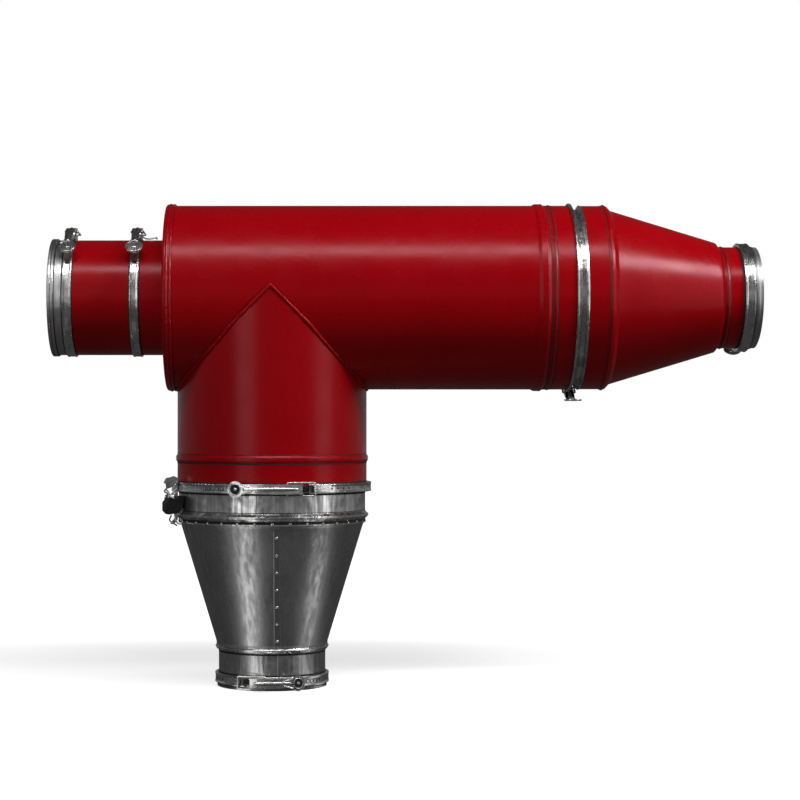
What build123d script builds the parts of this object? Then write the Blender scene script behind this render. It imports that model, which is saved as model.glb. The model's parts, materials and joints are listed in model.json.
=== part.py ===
"""Axial cyclone separator with a drop-out leg, joined by lever clamp bands.

The air barrel lies along X and the drop-out leg stands along Z. The origin is the centre
of the dust outlet's lower face, -Y is the front and +X is the side with the inlet cone.
All sizes are in millimetres.
"""
import os
from math import asin, cos, degrees, radians, sin

from build123d import *

# Air barrel, along X
air_axis_z = 843.0
barrel_radius = 200.0
sheet = 2.0
end_plate_x = -225.0
end_plate_thick = 4.0
end_plate_inset = 2.8
rim_wide = 13.0
rim_sheet = 3.0
barrel_end_x = 592.0
barrel_joint_x = 656.0
cone_start_x = 727.0
cone_end_x = 957.0
inlet_joint_x = 1021.0
inlet_lip_x = 1050.0
inlet_radius = 110.0
neck_radius = 188.0

# Clean air outlet, along X
outlet_radius = 125.0
outlet_lip_radius = 128.0
roll_width = 7.0
roll_height = 4.7
outlet_lip_x = -477.0
end_joint_x = -435.0
duct_joint_x = -292.0

# Drop-out leg and hopper, along Z
leg_radius = 206.0
leg_joint_z = 433.0
mitre_rise = 16.0
mitre_half = 260.0
cut_half = 300.0
leg_middle_z = 700.0
leg_cut = 420.0
seam_half = 4.5
weld_height = 2.6
hopper_radius = 203.0
hopper_bead_z = 371.0
hopper_top_z = 360.0
hopper_foot_z = 92.0
hopper_top_radius = 200.0
dust_radius = 116.0
dust_joint_z = 19.0

# Rolled lips and the clamp bands that grip them
band_sheet = 1.8
lip_width = 8.0
lip_gap = 0.3
band_dish = 1.4
band_opening = 16.0
v_band_rim = 205.5
v_band_floor = 191.5
v_band_latch = 201.5

# One lever latch on each band
wire = 3.6
wire_clearance = 0.35
bail_half_width = 13.6
pivot_from_middle = -2.0
pivot_height = 15.0
pin_radius = 2.5
bail_reach = 31.0
lever_sheet = 2.0
cheek_inner = 8.2
ear_inner = 5.2
ear_thick = 2.2
ear_round = 4.3
foot_half = 7.4
hook_sheet = 2.4
hook_width = 16.0
hook_gap = 1.1
outer_side = 480.0

# Hanging catch on the left of the leg clamp
strap_sheet = 2.4
strap_half = 11.0
strap_turn = 20.0
grip_reach = 27.0

os.makedirs("parts", exist_ok=True)

air_axis = Axis((0, 0, air_axis_z), (1, 0, 0))
air_profile = Plane(origin=(0, 0, air_axis_z), x_dir=(1, 0, 0), z_dir=(0, -1, 0))
air_section = Plane(origin=(0, 0, air_axis_z), x_dir=(0, 1, 0), z_dir=(1, 0, 0))


def finish(piece, label):
    """Name a finished piece and write it to its own file."""
    piece.part.label = label
    export_step(piece.part, f"parts/{label}.step")


def draw_sheet(points, bend=2.5, thick=sheet):
    """Draw the cut edge of a sheet that follows the points, rounded at each bend."""
    with BuildLine() as middle:
        if len(points) == 2:
            Line(*points)
        else:
            FilletPolyline(*points, radius=bend)
    trace(middle.line, line_width=thick)


def draw_lip(centre, width, height, roundness=0.3):
    """Draw the cut end of a rolled lip, as a bar with rounded corners."""
    with Locations(centre):
        RectangleRounded(width, height, roundness * min(width, height))


def lip_outside(band_radius):
    """Outer radius of the lips that a dished band of this radius closes over."""
    return band_radius - band_sheet - band_dish - lip_gap


def draw_mitre(far_z):
    """Draw the area that the two mitre planes of the leg close off, up to a height."""
    shoulder_z = air_axis_z + mitre_rise - mitre_half
    with BuildLine() as outline:
        Polyline(
            (0, air_axis_z + mitre_rise),
            (-mitre_half, shoulder_z),
            (-mitre_half, far_z),
            (mitre_half, far_z),
            (mitre_half, shoulder_z),
            close=True,
        )
    make_face(outline.edges())


def tilt(angle):
    """Sine and cosine of an angle in degrees."""
    return sin(radians(angle)), cos(radians(angle))


def hook_from_middle():
    """Where the hook stands, measured along the band from the latch's middle."""
    return bail_reach - wire / 2 - hook_gap - hook_sheet


def ring_profile(plane, angle):
    """A plane that cuts the duct lengthwise at an angle: x is outward, y runs along the duct."""
    spoke = plane.x_dir * cos(radians(angle)) + plane.y_dir * sin(radians(angle))
    return Plane(origin=plane.origin, x_dir=spoke, z_dir=spoke.cross(plane.z_dir))


def make_clamp(name, centre, out, along, tube_radius, band_radius, band_width, head, deep=False):
    """One clamp: band, bracket with catch, lever and wire bail, each a piece of its own.

    out is the direction from the duct's axis to the latch, along the direction round the
    duct from the lever's handle to the catch. head holds the handle's shape.
    """
    axial = out.cross(along)
    duct = Plane(origin=centre, x_dir=out, z_dir=axial)
    section = Plane(origin=centre, x_dir=along, z_dir=along.cross(out))
    latch_radius = v_band_latch if deep else band_radius
    gap_angle = degrees(band_opening / latch_radius)
    gap_middle = degrees((hook_from_middle() - 12) / latch_radius)
    start = gap_middle + gap_angle / 2

    with BuildPart() as band:
        with BuildSketch(ring_profile(duct, start)):
            half = band_width / 2 - band_sheet / 2
            crest = band_radius - band_sheet / 2
            if deep:
                side = 1 if axial.X > 0 else -1
                points = [
                    (barrel_radius + 1.0, -side * (half + 4.5)),
                    (v_band_rim - 0.9, -side * (half + 3.2)),
                    (v_band_rim - 1.6, -side * (half + 0.8)),
                    (v_band_floor - 0.9, -side * 3.8),
                    (v_band_floor - 0.9, side * 5.3),
                    (barrel_radius + 0.4, side * (half + 0.6)),
                ]
            else:
                skirt = tube_radius + 0.5
                points = [
                    (skirt, -half),
                    (crest, -half),
                    (crest - band_dish, -half + 4.5),
                    (crest - band_dish, half - 4.5),
                    (crest, half),
                    (skirt, half),
                ]
            draw_sheet(points, bend=1.2, thick=band_sheet)
        revolve(axis=Axis(centre, axial), revolution_arc=360 - gap_angle)
    finish(band, f"{name}_band")

    pivot_ring = latch_radius + pivot_height
    pivot = (pivot_from_middle, pivot_ring)
    bail_foot = (-bail_reach, (pivot_ring ** 2 - bail_reach ** 2) ** 0.5)
    catch = (bail_reach, bail_foot[1])
    seat = v_band_floor if deep else band_radius - band_dish
    pad_half = 2.4 if deep else 4.2
    strap = latch_radius + 0.1

    hook_face = catch[0] - wire / 2 - hook_gap

    with BuildPart() as bracket:
        # Two foot plates on the band's ends, each on a narrow pad in the band's dish
        for middle, length in ((pivot[0] - 6, 26), (hook_face + 20, 48)):
            for inner, outer, half in ((seat, strap + 1, pad_half), (strap, strap + 2, foot_half)):
                with BuildSketch(section):
                    Circle(outer)
                    Circle(inner, mode=Mode.SUBTRACT)
                    with Locations((middle, strap)):
                        Rectangle(length, 44, mode=Mode.INTERSECT)
                extrude(amount=half, both=True)
        # Ears for the lever on one end
        with BuildSketch(section.offset(ear_inner)):
            with BuildLine():
                Polyline(
                    (pivot[0] - 13, strap + 0.5),
                    (pivot[0] - 4.0, pivot[1] + 1),
                    (pivot[0] + 4.0, pivot[1] + 1),
                    (pivot[0] + 4.4, strap + 0.5),
                    close=True,
                )
            make_face()
            with Locations(pivot):
                Circle(ear_round)
        extrude(amount=ear_thick)
        mirror(about=section)
        # The pivot rivet passes through both ears and the lever's cheeks
        with BuildSketch(section):
            with Locations(pivot):
                Circle(pin_radius)
        extrude(amount=cheek_inner + lever_sheet + 1.2, both=True)
        # An upright hook for the wire on the other end
        with BuildSketch(section):
            with BuildLine():
                Polyline(
                    (hook_face - hook_sheet - 1.2, strap + 0.5),
                    (hook_face - hook_sheet - 0.4, catch[1] - 3),
                    (hook_face - hook_sheet + 0.2, catch[1] + 2),
                    (hook_face - hook_sheet + 1.8, catch[1] + 5.0),
                    (hook_face + 1.5, catch[1] + 4.2),
                    (hook_face, catch[1] + 1),
                    (hook_face - 0.4, catch[1] - 3),
                    (hook_face - 1.2, strap + 0.5),
                    close=True,
                )
            make_face()
        extrude(amount=hook_width / 2, both=True)
    finish(bracket, f"{name}_bracket")

    lever_ring = pivot_ring + 5.2
    head_turn = degrees(head["reach"] / lever_ring)
    head_angle = degrees(asin(pivot[0] / pivot_ring)) - head_turn
    head_out = section.x_dir * sin(radians(head_angle)) + section.y_dir * cos(radians(head_angle))
    plan = Plane(origin=centre, x_dir=section.x_dir * cos(radians(head_angle))
                 - section.y_dir * sin(radians(head_angle)), z_dir=head_out)
    span = lever_ring * sin(radians(head_turn))
    far_angle = radians(head_angle - 18)
    strip_end = pivot[0] + 2.05
    with BuildPart() as lever:
        # Curved strip, trimmed to the handle's outline seen from outside
        with BuildSketch(section):
            Circle(lever_ring + lever_sheet)
            Circle(lever_ring, mode=Mode.SUBTRACT)
            with BuildLine():
                Polyline(
                    (0, 0),
                    (sin(far_angle) * outer_side, cos(far_angle) * outer_side),
                    (strip_end, outer_side),
                    (strip_end, 0),
                    close=True,
                )
            make_face(mode=Mode.INTERSECT)
        extrude(amount=head["radius"] + 4, both=True)
        with BuildSketch(plan):
            with BuildLine():
                Polyline(
                    (span + 30, cheek_inner + lever_sheet),
                    (span - 38, cheek_inner + lever_sheet),
                    (head["flare"], head["neck"] / 2),
                    (0, head["radius"] * 0.96),
                    (0, -head["radius"] * 0.96),
                    (head["flare"], -head["neck"] / 2),
                    (span - 38, -cheek_inner - lever_sheet),
                    (span + 30, -cheek_inner - lever_sheet),
                    close=True,
                )
            make_face()
            Circle(head["radius"])
        extrude(amount=lever_ring + 40, mode=Mode.INTERSECT)
        # Cheeks folded down beside the ears, drilled for the rivet and the wire
        with BuildSketch(section.offset(cheek_inner)):
            Circle(lever_ring + 0.5)
            Circle(pivot_ring - 4.5, mode=Mode.SUBTRACT)
            with BuildLine():
                Polyline(
                    (strip_end, outer_side),
                    (pivot[0] + 4.5, pivot[1] + 2),
                    (pivot[0] + 4.5, pivot[1] - 1),
                    (pivot[0] + 1, pivot[1] - 4.6),
                    (bail_foot[0] + 1, bail_foot[1] - 4.8),
                    (bail_foot[0] - 22, bail_foot[1] + 1),
                    (bail_foot[0] - 22, outer_side),
                    close=True,
                )
            make_face(mode=Mode.INTERSECT)
            with Locations(pivot):
                Circle(pin_radius + wire_clearance, mode=Mode.SUBTRACT)
            with Locations(bail_foot):
                Circle(wire / 2 + wire_clearance, mode=Mode.SUBTRACT)
        extrude(amount=lever_sheet)
        mirror(about=section)
    finish(lever, f"{name}_lever")

    # Wire bail: two legs hooked into the cheeks and a cross wire behind the hook
    bail_plane = Plane(origin=section.from_local_coords((0, catch[1], 0)),
                       x_dir=section.x_dir, z_dir=section.y_dir)
    with BuildPart() as bail:
        with BuildLine(bail_plane) as wire_line:
            FilletPolyline(
                (-bail_reach, cheek_inner),
                (-bail_reach, bail_half_width),
                (bail_reach, bail_half_width),
                (bail_reach, -bail_half_width),
                (-bail_reach, -bail_half_width),
                (-bail_reach, -cheek_inner),
                radius=3.0,
            )
        with BuildSketch(Plane(origin=wire_line.line @ 0, z_dir=wire_line.line % 0)):
            Circle(wire / 2)
        sweep(path=wire_line.line)
    finish(bail, f"{name}_bail")


# Barrel shell, rolled from sheet, with a swaged bead near its open end
shell_line = barrel_radius - sheet / 2
bead_line = shell_line + 3.5
with BuildPart() as barrel_shell:
    with BuildSketch(air_profile):
        draw_sheet(
            [
                (end_plate_x + end_plate_thick, shell_line),
                (563, shell_line),
                (570, bead_line),
                (582, bead_line),
                (588, shell_line),
                (barrel_end_x, shell_line),
            ]
        )
    revolve(axis=air_axis)
    # The mouth of the leg is cut in from below, up to the two mitre planes
    with BuildSketch(Plane.XZ):
        draw_mitre(air_axis_z - cut_half)
    mouth = extrude(amount=mitre_half, both=True, mode=Mode.PRIVATE)
    bore = Pos(0, 0, leg_middle_z) * Cylinder(leg_radius - sheet, leg_cut, mode=Mode.PRIVATE)
    add(mouth & bore, mode=Mode.SUBTRACT)
finish(barrel_shell, "barrel_shell")

# End plate with its bore for the outlet stub, and the rolled rim over its edge
with BuildPart() as end_plate:
    with BuildSketch(air_section.offset(end_plate_x)):
        Circle(barrel_radius - end_plate_inset)
        Circle(outlet_radius - sheet, mode=Mode.SUBTRACT)
    extrude(amount=end_plate_thick)
finish(end_plate, "end_plate")

with BuildPart() as end_plate_rim:
    with BuildSketch(air_profile):
        draw_sheet(
            [
                (end_plate_x - rim_sheet / 2, barrel_radius - 14),
                (end_plate_x - rim_sheet / 2, barrel_radius + rim_sheet / 2),
                (end_plate_x + rim_wide, barrel_radius + rim_sheet / 2),
            ],
            bend=4.0,
            thick=rim_sheet,
        )
    revolve(axis=air_axis)
finish(end_plate_rim, "end_plate_rim")

# Barrel collar and cone collar neck down to meet under the deep clamp band
with BuildPart() as barrel_collar:
    with BuildSketch(air_profile):
        draw_sheet(
            [
                (barrel_end_x, shell_line),
                (596, shell_line),
                (599, shell_line + 1.2),
                (602, shell_line),
                (barrel_joint_x - 14, shell_line),
                (barrel_joint_x - 5, neck_radius),
                (barrel_joint_x, neck_radius),
            ],
            bend=1.5,
        )
    revolve(axis=air_axis)
finish(barrel_collar, "barrel_collar")

with BuildPart() as cone_collar:
    with BuildSketch(air_profile):
        draw_sheet(
            [
                (barrel_joint_x, neck_radius),
                (barrel_joint_x + 8, neck_radius),
                (barrel_joint_x + 12, shell_line - 0.5),
                (712, shell_line - 0.5),
                (717, shell_line + 1.5),
                (722, shell_line - 0.5),
                (cone_start_x, shell_line - 6),
            ],
            bend=1.5,
        )
    revolve(axis=air_axis)
finish(cone_collar, "cone_collar")

# Inlet cone, collar and nipple
with BuildPart() as inlet_cone:
    with BuildSketch(air_profile):
        draw_sheet(
            [
                (cone_start_x, shell_line - 6),
                (cone_start_x + 4, shell_line - 10.4),
                (cone_end_x - 6, 122),
                (cone_end_x + 4, 119),
                (cone_end_x + 11, inlet_radius - 1),
                (cone_end_x + 15, inlet_radius - 1),
            ],
            bend=3.0,
        )
    revolve(axis=air_axis)
finish(inlet_cone, "inlet_cone")

inlet_band_radius = 119.0
inlet_lip = lip_outside(inlet_band_radius)
inlet_lip_height = inlet_lip - inlet_radius + sheet
with BuildPart() as inlet_collar:
    with BuildSketch(air_profile):
        draw_sheet(
            [
                (cone_end_x + 15, inlet_radius - 1),
                (cone_end_x + 16, inlet_radius - 1),
                (cone_end_x + 19, inlet_radius + 0.6),
                (cone_end_x + 23, inlet_radius - 1),
                (inlet_joint_x - 0.5, inlet_radius - 1),
            ],
            bend=1.5,
        )
        draw_lip((inlet_joint_x - lip_width / 2, inlet_lip - inlet_lip_height / 2),
                 lip_width, inlet_lip_height)
    revolve(axis=air_axis)
finish(inlet_collar, "inlet_collar")

with BuildPart() as inlet_nipple:
    with BuildSketch(air_profile):
        draw_sheet(
            [
                (inlet_joint_x + 0.5, inlet_radius - 1),
                (1036, inlet_radius - 1),
                (1040, inlet_radius + 1),
                (1044, inlet_radius - 1),
                (inlet_lip_x, inlet_radius - 1),
            ],
            bend=1.5,
        )
        draw_lip((inlet_joint_x + lip_width / 2, inlet_lip - inlet_lip_height / 2),
                 lip_width, inlet_lip_height)
    revolve(axis=air_axis)
finish(inlet_nipple, "inlet_nipple")

# Clean air side: a stub on the end plate, a duct and a bare nipple at the end
outlet_band_radius = 129.5
outlet_lip = lip_outside(outlet_band_radius)
outlet_lip_height = outlet_lip - outlet_radius + sheet
outlet_line = outlet_radius - sheet / 2
with BuildPart() as outlet_stub:
    with BuildSketch(air_profile):
        draw_sheet([(duct_joint_x + 0.5, outlet_line), (end_plate_x, outlet_line)])
        draw_lip((duct_joint_x + lip_width / 2, outlet_lip - outlet_lip_height / 2),
                 lip_width, outlet_lip_height)
    revolve(axis=air_axis)
finish(outlet_stub, "outlet_stub")

with BuildPart() as outlet_duct:
    with BuildSketch(air_profile):
        draw_sheet([(end_joint_x + 0.5, outlet_line), (duct_joint_x - 0.5, outlet_line)])
        for lip_x in (end_joint_x + lip_width / 2, duct_joint_x - lip_width / 2):
            draw_lip((lip_x, outlet_lip - outlet_lip_height / 2), lip_width, outlet_lip_height)
    revolve(axis=air_axis)
finish(outlet_duct, "outlet_duct")

with BuildPart() as outlet_nipple:
    with BuildSketch(air_profile):
        draw_sheet([(outlet_lip_x + 1, outlet_line), (end_joint_x - 0.5, outlet_line)])
        draw_lip((end_joint_x - lip_width / 2, outlet_lip - outlet_lip_height / 2),
                 lip_width, outlet_lip_height)
        for roll_x in (outlet_lip_x + 3.5, outlet_lip_x + 10):
            draw_lip((roll_x, outlet_lip_radius - roll_height / 2), roll_width, roll_height, 0.45)
    revolve(axis=air_axis)
finish(outlet_nipple, "outlet_nipple")

# Drop-out leg, mitred to the barrel in a V on the front and the back
leg_band_radius = 217.0
leg_lip = lip_outside(leg_band_radius)
leg_line = leg_radius - sheet / 2
leg_top_z = air_axis_z + mitre_rise + 5
with BuildPart() as drop_leg:
    with BuildSketch(Plane.XZ):
        draw_sheet(
            [
                (leg_line, leg_joint_z + 0.5),
                (leg_line, 486),
                (leg_line + 3, 490),
                (leg_line + 3, 498),
                (leg_line, 502),
                (leg_line, leg_top_z),
            ]
        )
        lip_height = leg_lip - leg_radius + sheet
        draw_lip((leg_lip - lip_height / 2, leg_joint_z + lip_width / 2), lip_height, lip_width)
    revolve(axis=Axis.Z)
    with BuildSketch(Plane.XZ):
        draw_mitre(air_axis_z + cut_half)
    extrude(amount=mitre_half, both=True, mode=Mode.SUBTRACT)
    with BuildSketch(air_section):
        Circle(barrel_radius)
    extrude(amount=cut_half, both=True, mode=Mode.SUBTRACT)
finish(drop_leg, "drop_leg")

# Weld bead along the V, where the leg's edge meets the barrel
with BuildPart() as leg_seam_weld:
    with BuildSketch(Plane.XZ) as chevron:
        with BuildLine():
            FilletPolyline(
                (-206, air_axis_z - 196.5),
                (-190, air_axis_z - 183),
                (-90, air_axis_z - 75),
                (0, air_axis_z + mitre_rise),
                (90, air_axis_z - 75),
                (190, air_axis_z - 183),
                (206, air_axis_z - 196.5),
                radius=8,
            )
        trace(line_width=2 * seam_half)
    extrude(amount=230, both=True)
    with BuildSketch(air_section):
        Circle(barrel_radius + weld_height)
    barrel_skin = extrude(amount=cut_half, both=True, mode=Mode.PRIVATE)
    leg_skin = Pos(0, 0, leg_middle_z) * Cylinder(leg_radius + weld_height, leg_cut, mode=Mode.PRIVATE)
    add(barrel_skin + leg_skin, mode=Mode.INTERSECT)
    with BuildSketch(air_section):
        Circle(barrel_radius)
    extrude(amount=cut_half, both=True, mode=Mode.SUBTRACT)
    with BuildSketch(Plane.XZ):
        draw_mitre(air_axis_z - cut_half)
    below_mitre = extrude(amount=mitre_half, both=True, mode=Mode.PRIVATE)
    leg_core = Pos(0, 0, leg_middle_z) * Cylinder(leg_radius, leg_cut, mode=Mode.PRIVATE)
    add(below_mitre & leg_core, mode=Mode.SUBTRACT)
finish(leg_seam_weld, "leg_seam_weld")

# Hopper: a straight galvanised collar, the cone riveted into it, and the dust outlet
hopper_lip_height = leg_lip - hopper_radius + sheet
hopper_line = hopper_radius - sheet / 2
with BuildPart() as hopper_collar:
    with BuildSketch(Plane.XZ):
        draw_sheet(
            [
                (hopper_line, leg_joint_z - 0.5),
                (hopper_line, hopper_bead_z + 9),
                (hopper_line + 8, hopper_bead_z),
                (hopper_line, hopper_bead_z - 7),
                (hopper_line, hopper_top_z - 5),
            ]
        )
        draw_lip((leg_lip - hopper_lip_height / 2, leg_joint_z - lip_width / 2),
                 hopper_lip_height, lip_width)
    revolve(axis=Axis.Z)
finish(hopper_collar, "hopper_collar")

with BuildPart() as hopper_cone:
    with BuildSketch(Plane.XZ):
        draw_sheet(
            [
                (hopper_line - sheet, hopper_top_z + 8),
                (hopper_line - sheet, hopper_top_z - 5),
                (hopper_top_radius - 3, hopper_top_z - 10),
                (dust_radius + 4, hopper_foot_z + 4),
                (dust_radius + 4, hopper_foot_z),
            ]
        )
    revolve(axis=Axis.Z)
finish(hopper_cone, "hopper_cone")

dust_band_radius = 124.5
dust_lip = lip_outside(dust_band_radius)
dust_lip_height = dust_lip - dust_radius + sheet
dust_line = dust_radius - sheet / 2
with BuildPart() as dust_outlet_collar:
    with BuildSketch(Plane.XZ):
        draw_sheet(
            [
                (dust_line, dust_joint_z + 0.5),
                (dust_line, 78),
                (dust_line + 5, 82),
                (dust_line + 7, 85.5),
                (dust_radius + 4, 89),
                (dust_radius + 4, hopper_foot_z),
            ],
            bend=1.0,
        )
        draw_lip((dust_lip - dust_lip_height / 2, dust_joint_z + lip_width / 2),
                 dust_lip_height, lip_width)
    revolve(axis=Axis.Z)
finish(dust_outlet_collar, "dust_outlet_collar")

with BuildPart() as dust_outlet_flange:
    with BuildSketch(Plane.XZ):
        draw_sheet([(dust_line, dust_joint_z - 0.5), (dust_line, 0)])
        draw_lip((dust_lip - dust_lip_height / 2, dust_joint_z - lip_width / 2),
                 dust_lip_height, lip_width)
        with Locations((dust_line + 1.5, 0)):
            Rectangle(5, 5, align=(Align.CENTER, Align.MIN))
    revolve(axis=Axis.Z)
finish(dust_outlet_flange, "dust_outlet_flange")


# Hanging catch on the left of the leg clamp: a bent strap with a black grip moulded round it
catch_s, catch_c = tilt(strap_turn)
catch_section = Plane(origin=(0, 0, 0), x_dir=(catch_c, catch_s, 0), z_dir=(catch_s, -catch_c, 0))
strap_x = -(leg_band_radius + strap_sheet / 2 - 0.1)
with BuildPart() as side_catch_strap:
    with BuildSketch(catch_section):
        draw_sheet(
            [
                (strap_x - 9, hopper_top_z - 6),
                (strap_x, hopper_top_z + 4),
                (strap_x, leg_joint_z + 12),
                (strap_x - 7, leg_joint_z + 20),
                (strap_x - 19, leg_joint_z + 18),
                (strap_x - 24, leg_joint_z + 8),
            ],
            bend=3.0,
            thick=strap_sheet,
        )
    extrude(amount=strap_half, both=True)
    with BuildSketch(Plane.XY.offset(hopper_top_z - 20)):
        Circle(leg_band_radius)
    extrude(amount=140, mode=Mode.SUBTRACT)
finish(side_catch_strap, "side_catch_strap")

with BuildPart() as side_catch_grip:
    with BuildSketch(catch_section):
        with BuildLine():
            Polyline(
                (strap_x + 4, 378),
                (strap_x - grip_reach + 8, 374),
                (strap_x - grip_reach, 382),
                (strap_x - grip_reach, 400),
                (strap_x - grip_reach + 8, 410),
                (strap_x + 11, 414),
                (strap_x + 12, 389),
                close=True,
            )
        make_face()
    extrude(amount=strap_half + 2, both=True)
    upright = side_catch_grip.edges().filter_by(Axis(catch_section.origin, catch_section.z_dir))
    fillet(upright.sort_by(Axis.X)[:4], 4.0)
    chamfer(side_catch_grip.faces().sort_by(Axis.Y)[0].edges(), 1.5)
    add(side_catch_strap.part, mode=Mode.SUBTRACT)
finish(side_catch_grip, "side_catch_grip")


bell_head = {"radius": 19.0, "reach": 124.0, "neck": 15.0, "flare": 24.0}
disc_head = {"radius": 17.0, "reach": 139.0, "neck": 17.5, "flare": 16.0}
shield_head = {"radius": 16.5, "reach": 102.0, "neck": 18.0, "flare": 20.0}
leaf_head = {"radius": 20.0, "reach": 100.0, "neck": 19.0, "flare": 34.0}

top_s, top_c = tilt(2.0)
for clamp_name, clamp_x in (("outlet_end_clamp", end_joint_x), ("outlet_duct_clamp", duct_joint_x)):
    make_clamp(clamp_name, Vector(clamp_x, 0, air_axis_z), Vector(0, top_s, top_c),
               Vector(0, top_c, -top_s), outlet_radius, outlet_band_radius, 20.0, bell_head)

low_s, low_c = tilt(26.0)
make_clamp("barrel_clamp", Vector(barrel_joint_x, 0, air_axis_z), Vector(0, low_s, -low_c),
           Vector(0, low_c, low_s), barrel_radius, v_band_rim, 22.0, leaf_head, deep=True)

make_clamp("inlet_clamp", Vector(inlet_joint_x, 0, air_axis_z), Vector(0, 1, 0),
           Vector(0, 0, 1), inlet_radius, inlet_band_radius, 22.0, bell_head)

leg_s, leg_c = tilt(16.4)
make_clamp("leg_clamp", Vector(0, 0, leg_joint_z), Vector(leg_s, -leg_c, 0),
           Vector(leg_c, leg_s, 0), leg_radius, leg_band_radius, 20.0, disc_head)

dust_s, dust_c = tilt(-17.8)
make_clamp("dust_outlet_clamp", Vector(0, 0, dust_joint_z), Vector(dust_s, -dust_c, 0),
           Vector(-dust_c, -dust_s, 0), dust_radius, dust_band_radius, 22.0, shield_head)
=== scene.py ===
"""Looks of the cyclone separator: paint, zinc, weld beads, rivets and latch details.

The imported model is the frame. Each operator below makes one group of pieces or finishes,
as numpy surfaces and node materials, and the stage operator adds floor, lamps and camera.
"""
import json

import bmesh
import bpy
import numpy as np
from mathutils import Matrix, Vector


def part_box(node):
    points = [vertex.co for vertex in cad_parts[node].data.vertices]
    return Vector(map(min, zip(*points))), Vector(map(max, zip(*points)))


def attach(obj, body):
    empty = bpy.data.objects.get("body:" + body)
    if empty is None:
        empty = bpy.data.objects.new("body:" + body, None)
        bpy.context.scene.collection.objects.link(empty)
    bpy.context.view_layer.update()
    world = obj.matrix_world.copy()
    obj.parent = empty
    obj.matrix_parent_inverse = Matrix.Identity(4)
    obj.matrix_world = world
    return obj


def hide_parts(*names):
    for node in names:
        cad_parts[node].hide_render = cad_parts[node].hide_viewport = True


bl_info = {
    "name": "Cyclone Separator Finish",
    "version": (1, 0, 0),
    "blender": (4, 5, 0),
    "location": "View3D > Sidebar > Cyclone",
    "description": "Dresses a duct cyclone with paint, zinc, welds, rivets and latch details",
    "category": "Mesh",
}

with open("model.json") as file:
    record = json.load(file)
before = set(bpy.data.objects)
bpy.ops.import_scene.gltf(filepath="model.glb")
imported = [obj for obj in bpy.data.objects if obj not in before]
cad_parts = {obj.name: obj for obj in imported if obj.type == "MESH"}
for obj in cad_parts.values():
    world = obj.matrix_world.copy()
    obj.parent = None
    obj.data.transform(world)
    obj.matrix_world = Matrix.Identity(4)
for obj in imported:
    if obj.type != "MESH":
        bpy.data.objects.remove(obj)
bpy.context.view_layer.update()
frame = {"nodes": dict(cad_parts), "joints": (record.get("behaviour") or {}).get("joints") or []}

MM = 0.001
RED_NODES = (
    "barrel_shell", "end_plate", "end_plate_rim", "barrel_collar", "cone_collar", "inlet_cone",
    "inlet_collar", "drop_leg", "outlet_stub", "outlet_duct",
)
BRIGHT_NODES = ("hopper_collar", "dust_outlet_collar", "dust_outlet_flange")
BRIGHT_DUCT_NODES = ("outlet_nipple", "inlet_nipple")
ALONG_X = ("outlet_end_clamp", "outlet_duct_clamp", "barrel_clamp", "inlet_clamp")
UPRIGHT = ("leg_clamp", "dust_outlet_clamp")
LEVER_CLAMPS = ALONG_X + UPRIGHT
JOINTS = {joint["name"]: joint for joint in frame["joints"]}

# Places and radii of the CAD's sheets
PLATE_LOW, PLATE_HIGH = (np.array(c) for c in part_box("end_plate"))
STUB_LOW, STUB_HIGH = (np.array(c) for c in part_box("outlet_stub"))
COLLAR_LOW = np.array(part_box("hopper_collar")[0])
AIR_Z = float((PLATE_LOW[2] + PLATE_HIGH[2]) / 2)
STUB_RADIUS = (STUB_HIGH[1] - STUB_LOW[1]) / 2
BARREL_RADIUS = 200 * MM
LEG_RADIUS = 206 * MM
HOPPER_RADIUS = 203 * MM

# The V's peak over the barrel's axis, and half the width over which the mitre planes cut
MITRE_RISE = 16 * MM
MITRE_SHOULDER = 88 * MM

# A lever's middle and its skin over the ring of the pivots, and the turn of the hanging catch
LEVER_MIDDLE = 5.2 * MM
LEVER_SHEET = 2.0 * MM
CATCH_TURN = 20.0

# The hopper cone's outside at its foot and its top: radius and height
CONE_FOOT = (121 * MM, 96 * MM)
CONE_TOP = (198 * MM, 350 * MM)
CONE_SLOPE = (CONE_TOP[0] - CONE_FOOT[0]) / (CONE_TOP[1] - CONE_FOOT[1])

# The cone's lap seam: place across the front, heights of its ends, and for its rivets the
# highest, the lowest and how many
CONE_SEAM_X = 13 * MM
CONE_SEAM_ENDS = (345 * MM, 98 * MM)
CONE_RIVETS = (330 * MM, 106 * MM, 7)


# Surfaces

def grid_faces(rows, columns, wrap_rows=False, wrap_columns=False):
    """Quads of a grid of points; a wrapped direction joins its last row to its first."""
    r = np.arange(rows if wrap_rows else rows - 1)
    c = np.arange(columns if wrap_columns else columns - 1)
    row, column = np.meshgrid(r, c, indexing="ij")
    row_next, column_next = (row + 1) % rows, (column + 1) % columns
    quads = (row * columns + column, row * columns + column_next,
             row_next * columns + column_next, row_next * columns + column)
    return np.stack(quads, axis=-1).reshape(-1, 4)


def make_mesh(name, points, faces, material, smooth=True):
    """A mesh object from point rows and quad rows, linked to the scene and given one material."""
    mesh = bpy.data.meshes.new(name)
    points = np.asarray(points, dtype=np.float64).reshape(-1, 3)
    mesh.from_pydata(points.tolist(), [], np.asarray(faces).tolist())
    mesh.polygons.foreach_set("use_smooth", np.full(len(mesh.polygons), smooth))
    mesh.validate()
    mesh.update()
    piece = bpy.data.objects.new(name, mesh)
    bpy.context.scene.collection.objects.link(piece)
    mesh.materials.append(material)
    return piece


def outward(piece):
    """Merges the doubles of closed parts and turns their faces outwards."""
    work = bmesh.new()
    work.from_mesh(piece.data)
    bmesh.ops.remove_doubles(work, verts=work.verts, dist=1e-7)
    bmesh.ops.recalc_face_normals(work, faces=work.faces)
    work.to_mesh(piece.data)
    work.free()
    return piece


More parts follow.
